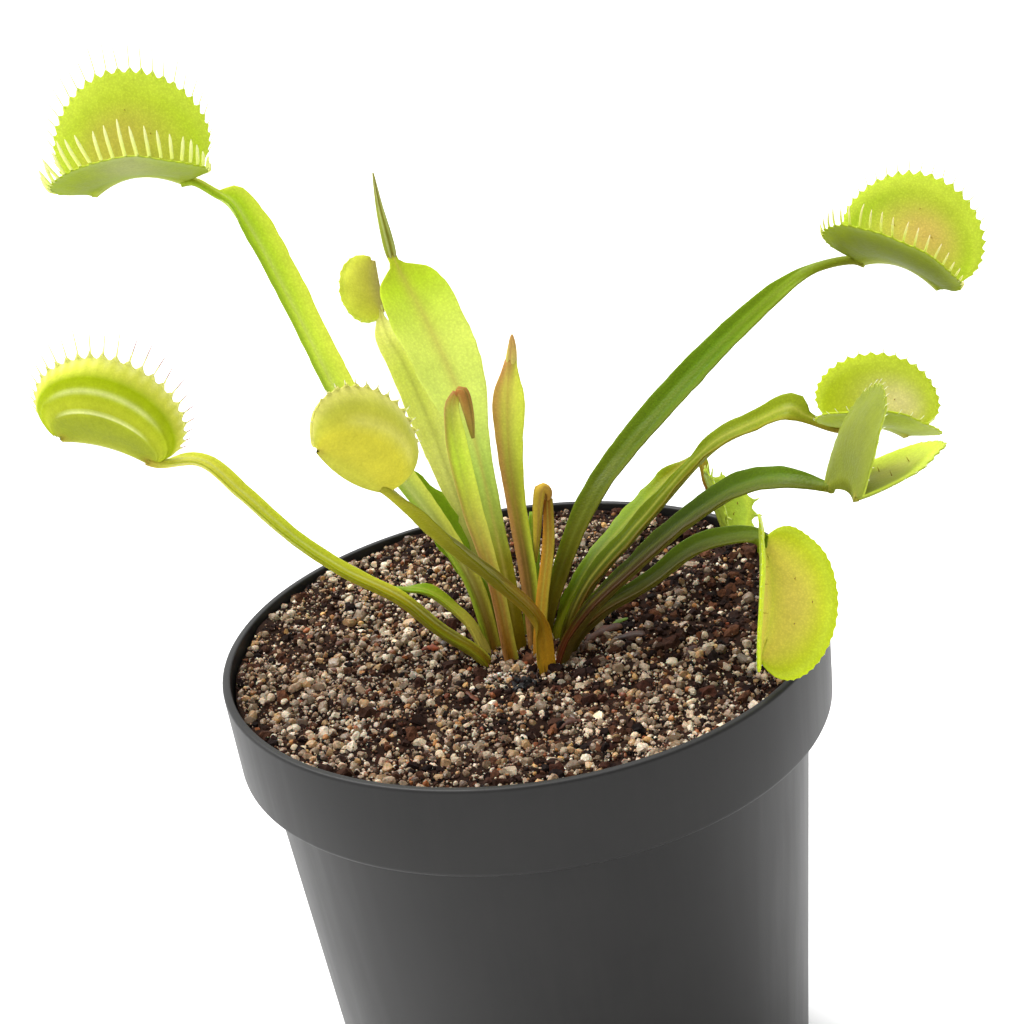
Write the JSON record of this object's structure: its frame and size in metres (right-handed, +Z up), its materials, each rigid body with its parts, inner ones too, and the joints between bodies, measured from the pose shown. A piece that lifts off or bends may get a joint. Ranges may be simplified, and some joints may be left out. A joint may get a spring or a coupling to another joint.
{
  "type": "potted venus flytrap",
  "caption": "Venus flytrap in a round black plastic nursery pot: winged leaf stalks rise from one crown in gritty peat and end in toothed two-lobed traps.",
  "frame": {"origin": "centre of the pot's flat underside", "axes": "+Z up through the pot's axis, -Y towards the front that the picture shows, +X to the right seen from the front"},
  "size_m": [0.1274, 0.08, 0.1532],
  "materials": {
    "pot": "satin",
    "growing_mix": "matte",
    "rhizome": "matte",
    "leaf_green": "satin",
    "leaf_dark_green": "satin",
    "leaf_young": "satin"
  },
  "bodies": {
    "root": {"pot": "pot", "growing_mix": "growing_mix", "rhizome": "rhizome", "leaf_back_left_open_trap": "leaf_green", "leaf_left_closed_trap": "leaf_green", "leaf_front_left_trap": "leaf_green", "leaf_broad_upright": "leaf_green", "leaf_back_small_trap": "leaf_green", "leaf_young_hooked": "leaf_young", "leaf_young_spear": "leaf_young", "leaf_hooked_bud": "leaf_young", "leaf_right_tall_open_trap": "leaf_green", "leaf_right_upper_trap": "leaf_dark_green", "leaf_right_front_trap": "leaf_dark_green", "leaf_right_drooping_trap": "leaf_dark_green", "leaf_back_right_toothed_trap": "leaf_dark_green", "leaf_small_low": "leaf_green", "leaf_short_toothed": "leaf_dark_green", "leaf_small_back": "leaf_green"}
  },
  "joints": []
}
